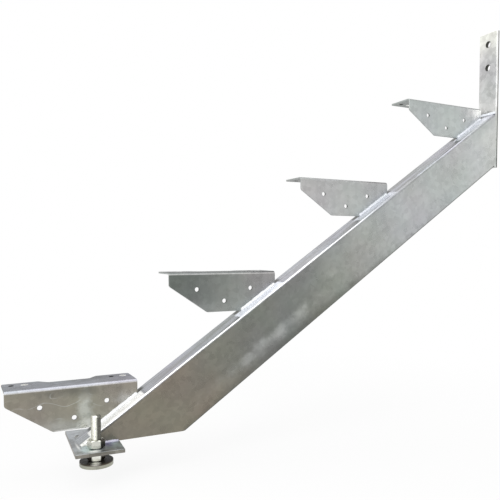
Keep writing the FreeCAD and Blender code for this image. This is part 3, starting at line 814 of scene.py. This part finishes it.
class STRINGER_OT_plates(Operator):
    """Finishes the top fixing plate and the foot plate"""
    bl_idname = "stringer.plates"
    bl_label = "Plates"

    def execute(self, context):
        zinc = context.scene.stringer.zinc
        self.top_plate(zinc)
        self.foot_plate(zinc)
        return {"FINISHED"}

    @staticmethod
    def top_plate(zinc):
        """Flat bar with a pale upper end, fresh zinc round its weld, sawn edges and two bolt holes."""
        finish = Finish("top_fixing_plate_zinc")
        own = finish.place(TOP_HIGH)
        upright = finish.axis(own, "Z")
        weld = tube_top(TOP_LOW.x) - TOP_HIGH.z
        face = finish.blend(finish.ease(upright, *PALE_END), opaque(zinc.top_plate), opaque(zinc.top_end))
        welded = finish.times(finish.within(upright, weld, WELD_ZONE, WELD_SOFT), WELD_SHARE)
        face = finish.blend(welded, face, opaque(zinc.bright))
        above = finish.ease(upright, weld - EDGE_BELOW, weld + EDGE_ABOVE)
        edge = finish.blend(above, opaque(zinc.head), opaque(zinc.bright))
        edge = finish.blend(finish.ease(finish.axis(own, "X"), *DARK_ARRIS), edge, opaque(zinc.bore))
        colour = finish.blend(endwise(finish, "X"), edge, face)
        bolts = next(mount for mount in frame["record"]["mounts"] if mount["name"] == "top_plate_bolts")
        middle, sizes = Vector(bolts["pos_m"]), bolts["dims"]
        half = Vector((0, 0, sizes["spacing_y_mm"] * MILLIMETRE / 2))
        colour = finish.bored(colour, opaque(zinc.bore), (middle + half, middle - half),
                              sizes["hole_r_mm"] * MILLIMETRE, "X")
        coat("top_fixing_plate", cloudy_zinc(finish, colour, own, roughness=0.34, contrast=1.3))

    @staticmethod
    def foot_plate(zinc):
        """Flat bar with sawn edges and marks round the stud, among them painted reflections and
        highlights, the bright ones less metallic.
        """
        finish = Finish("foot_plate_zinc")
        colour, metallic = opaque(zinc.foot_plate), METALLIC
        for place, half_sizes, strength, mark in PLATE_MARKS:
            centre = Vector(place) + Vector((0, 0, PLATE_HIGH.z))
            share = finish.patch(centre, half_sizes, strength, ragged=0.2)
            colour = finish.blend(share, colour, named(zinc, mark))
            if mark == "bright":
                metallic = finish.combine("SUBTRACT", metallic, finish.times(share, BRIGHT_MARK_LOSS))
        colour = finish.blend(endwise(finish, "Z"), opaque(zinc.plate_edge), colour)
        coat("foot_plate", cloudy_zinc(finish, colour, finish.place(PLATE_HIGH), roughness=0.42,
                                       contrast=2.2, metallic=metallic))


class STRINGER_OT_levelling_foot(Operator):
    """Cuts the stud's thread and finishes the stud, the nuts and the foot disc"""
    bl_idname = "stringer.levelling_foot"
    bl_label = "Levelling foot"

    def execute(self, context):
        settings = context.scene.stringer
        stud = thread_skin(settings.thread, STUD_LOW, STUD_HIGH)
        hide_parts("levelling_stud")
        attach(stud, "levelling_foot")
        for name, (way, spread, soft, *tones) in LIT_WAYS.items():
            finish = Finish(f"{name}_zinc")
            lit_colour, grime = (named(settings.zinc, tone_name) for tone_name in tones)
            # Painted light on one side of each piece, painted shade on the rest
            colour = lit_side(finish, lit_colour, grime, way, spread, soft)
            coat(stud if name == stud.name else name,
                 cloudy_zinc(finish, colour, finish.place(), roughness=0.22, contrast=0.8, metallic=0.95))
        self.disc(settings.zinc)
        return {"FINISHED"}

    @staticmethod
    def disc(zinc):
        """Foot disc with a pale rim, painted shade on top and one bright spot of painted reflection."""
        finish = Finish("foot_disc_zinc")
        upper = finish.ease(finish.axis(finish.place(), "Z"), *DISC_SHADE)
        colour = finish.blend(upper, opaque(zinc.foot), opaque(zinc.grime))
        place, half_sizes = DISC_SPOT
        spot = finish.patch(Vector(place) + Vector((0, 0, STUD_LOW.z)), half_sizes, 1.0, ragged=0.1)
        colour = finish.blend(spot, colour, opaque(zinc.hardware))
        coat("foot_disc", cloudy_zinc(finish, colour, finish.place(), roughness=0.4, contrast=1.5,
                                      metallic=0.8))


class STRINGER_OT_welds(Operator):
    """Lays the weld beads that join the brackets, the plates and the hollow section"""
    bl_idname = "stringer.welds"
    bl_label = "Weld beads"

    def execute(self, context):
        settings = context.scene.stringer
        bright = self.bead_zinc(settings.zinc, "weld_bead_zinc", "Z", HIGH_BEADS, ("bead", "high_bead"),
                                roughness=0.45, contrast=0.8, metallic=0.2)
        dull = self.bead_zinc(settings.zinc, "foot_bead_zinc", "X", PAST_STUD, ("toe_bead", "foot_bead"),
                              roughness=0.4, contrast=1.2, metallic=0.4)
        for bead in self.beads(settings.beads):
            coat(bead, dull if bead.name.startswith("foot_plate") else bright)
            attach(bead, "stringer")
        return {"FINISHED"}

    @staticmethod
    def bead_zinc(zinc, name, letter, fade, tones, **coat_values):
        """Zinc over beads, going from one colour to another along an axis."""
        finish = Finish(name)
        first, second = (named(zinc, tone_name) for tone_name in tones)
        colour = finish.blend(finish.ease(finish.axis(finish.place(), letter), *fade), first, second)
        return cloudy_zinc(finish, colour, finish.place(), **coat_values)

    @staticmethod
    def beads(sizes):
        """Beads on both sides of each web's foot, across the top plate and beside the toe."""
        near, far, up = Vector((0, -1, 0)), Vector((0, 1, 0)), Vector((0, 0, 1))
        beads = []
        for name in BRACKETS:
            low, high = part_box(name)
            heel = Vector((high.x, low.y, tube_top(high.x)))
            foot = Vector((tube_x(low.z), low.y, low.z))
            for side, out, shift in (("near", near, Vector()), ("far", far, far * SHEET)):
                beads.append(bead_skin(f"{name}_bead_{side}", foot + shift, heel + shift, out, OFF_TUBE,
                                       sizes, sizes.leg))
        x, top = TOP_LOW.x, tube_top(TOP_LOW.x)
        beads.append(bead_skin("top_plate_bead", (x, TUBE_LOW.y, top), (x, TUBE_HIGH.y, top), -UPHILL, up,
                               sizes, sizes.leg))
        for side, out, y in (("near", near, TUBE_LOW.y), ("far", far, TUBE_HIGH.y)):
            beads.append(bead_skin(f"foot_plate_bead_{side}", (TOE.x, y, PLATE_HIGH.z),
                                   (plate_end(y), y, PLATE_HIGH.z), out, up, sizes, sizes.foot_leg))
        return beads


class STRINGER_OT_stage(Operator):
    """Sets up the floor, the even light, the lamps and the camera"""
    bl_idname = "stringer.stage"
    bl_label = "Studio"

    def execute(self, context):
        scene = context.scene
        studio = scene.stringer.studio
        scene.view_settings.view_transform = "Standard"
        self.sky(scene, studio)
        self.floor(studio)
        self.lamp("key_lamp", *KEY_LAMP, studio.key_power)
        self.lamp("top_lamp", *TOP_LAMP, studio.top_power)
        self.camera(scene, studio)
        return {"FINISHED"}

    @staticmethod
    def sky(scene, studio):
        """White all round where it is seen, and a softer even light for the rest."""
        sky = Finish("studio_light", bpy.data.worlds)
        strength = sky.ease(sky.seen_ray(), 0.0, 1.0, studio.sky, 1.0)
        light = sky.add("ShaderNodeBackground", {"Color": WHITE, "Strength": strength})
        sky.add("ShaderNodeOutputWorld", {"Surface": light})
        scene.world = sky.owner

    @staticmethod
    def floor(studio):
        """Round pale floor: mostly white where it is seen, with the soft shadow, and pure white far out.

        It lies where the foot reaches when wound right out, because the stringer hangs from its top plate.
        """
        joints = frame["record"]["behaviour"]["joints"]
        travel = next(joint["range_m"][1] for joint in joints if joint["name"] == "foot_height")
        angle = np.linspace(0, 2 * np.pi, FLOOR_POINTS, endpoint=False)
        unit = np.stack([np.cos(angle), np.sin(angle), np.zeros_like(angle)], axis=-1)
        rim = studio.floor_radius * unit + (0, 0, CAD_BOX[0].z - travel)
        mesh = bpy.data.meshes.new("floor")
        mesh.from_pydata(rim.tolist(), [], [list(range(len(rim)))])
        floor = set_out("floor", mesh)
        finish = Finish("pale_floor")
        white_share = finish.ease(finish.vector("LENGTH", finish.place(), output="Value"), *FLOOR_WHITE)
        share = finish.times(white_share, finish.seen_ray())
        paint = finish.add("ShaderNodeBsdfDiffuse", {"Color": (FLOOR_GREY, FLOOR_GREY, FLOOR_GREY, 1)})
        white = finish.add("ShaderNodeEmission", {"Color": WHITE, "Strength": 1.0})
        surface = finish.add("ShaderNodeMixShader", {0: share, 1: paint, 2: white})
        finish.add("ShaderNodeOutputMaterial", {"Surface": surface})
        coat(floor, finish.owner)

    @staticmethod
    def lamp(name, place, side, power):
        """Square soft lamp at a place, turned to the middle of the stringer."""
        light = bpy.data.lights.new(name, "AREA")
        light.shape = "SQUARE"
        light.size = side
        light.energy = power
        lamp = set_out(name, light)
        lamp.location = place
        middle = (CAD_BOX[0] + CAD_BOX[1]) / 2
        lamp.rotation_euler = (middle - place).to_track_quat("-Z", "Y").to_euler()

    @staticmethod
    def camera(scene, studio):
        """Camera with the photograph's focal length, place and centre."""
        yaw, pitch = studio.camera_yaw, studio.camera_pitch
        level = math.cos(pitch)
        forward = Vector((math.sin(yaw) * level, math.cos(yaw) * level, math.sin(pitch)))
        right = Vector((math.cos(yaw), -math.sin(yaw), 0))
        turned = Matrix((right, right.cross(forward), -forward)).transposed()
        data = bpy.data.cameras.new("camera")
        data.sensor_width = SENSOR
        data.lens = studio.focal_pixels / IMAGE_SIDE * SENSOR
        data.shift_x = 0.5 - studio.centre_pixels[0] / IMAGE_SIDE
        data.shift_y = studio.centre_pixels[1] / IMAGE_SIDE - 0.5
        data.clip_start = 0.01
        camera = set_out("camera", data)
        camera.matrix_world = Matrix.Translation(studio.camera_place) @ turned.to_4x4()
        scene.camera = camera


class STRINGER_PT_looks(Panel):
    """Lists the pieces' operators and settings in the sidebar"""
    bl_idname = "STRINGER_PT_looks"
    bl_label = "Stair stringer"
    bl_space_type = "VIEW_3D"
    bl_region_type = "UI"
    bl_category = "Stringer"

    def draw(self, context):
        layout = self.layout
        for operator in OPERATORS:
            layout.operator(operator.bl_idname)
        settings = context.scene.stringer
        for group in (settings.zinc, settings.webs, settings.beads, settings.thread, settings.studio):
            box = layout.box()
            for name in group.__annotations__:
                box.prop(group, name)


OPERATORS = (STRINGER_OT_tube, STRINGER_OT_brackets, STRINGER_OT_plates, STRINGER_OT_levelling_foot,
             STRINGER_OT_welds, STRINGER_OT_stage)
CLASSES = (ZincTones, BracketTones, BeadSizes, ThreadSizes, StudioSettings, StringerSettings, *OPERATORS,
           STRINGER_PT_looks)


def register():
    for kind in CLASSES:
        bpy.utils.register_class(kind)
    bpy.types.Scene.stringer = PointerProperty(type=StringerSettings)


def unregister():
    del bpy.types.Scene.stringer
    for kind in reversed(CLASSES):
        bpy.utils.unregister_class(kind)


def main():
    register()
    bpy.ops.stringer.tube()
    bpy.ops.stringer.brackets()
    bpy.ops.stringer.plates()
    bpy.ops.stringer.levelling_foot()
    bpy.ops.stringer.welds()
    bpy.ops.stringer.stage()


if __name__ == "__main__":
    main()
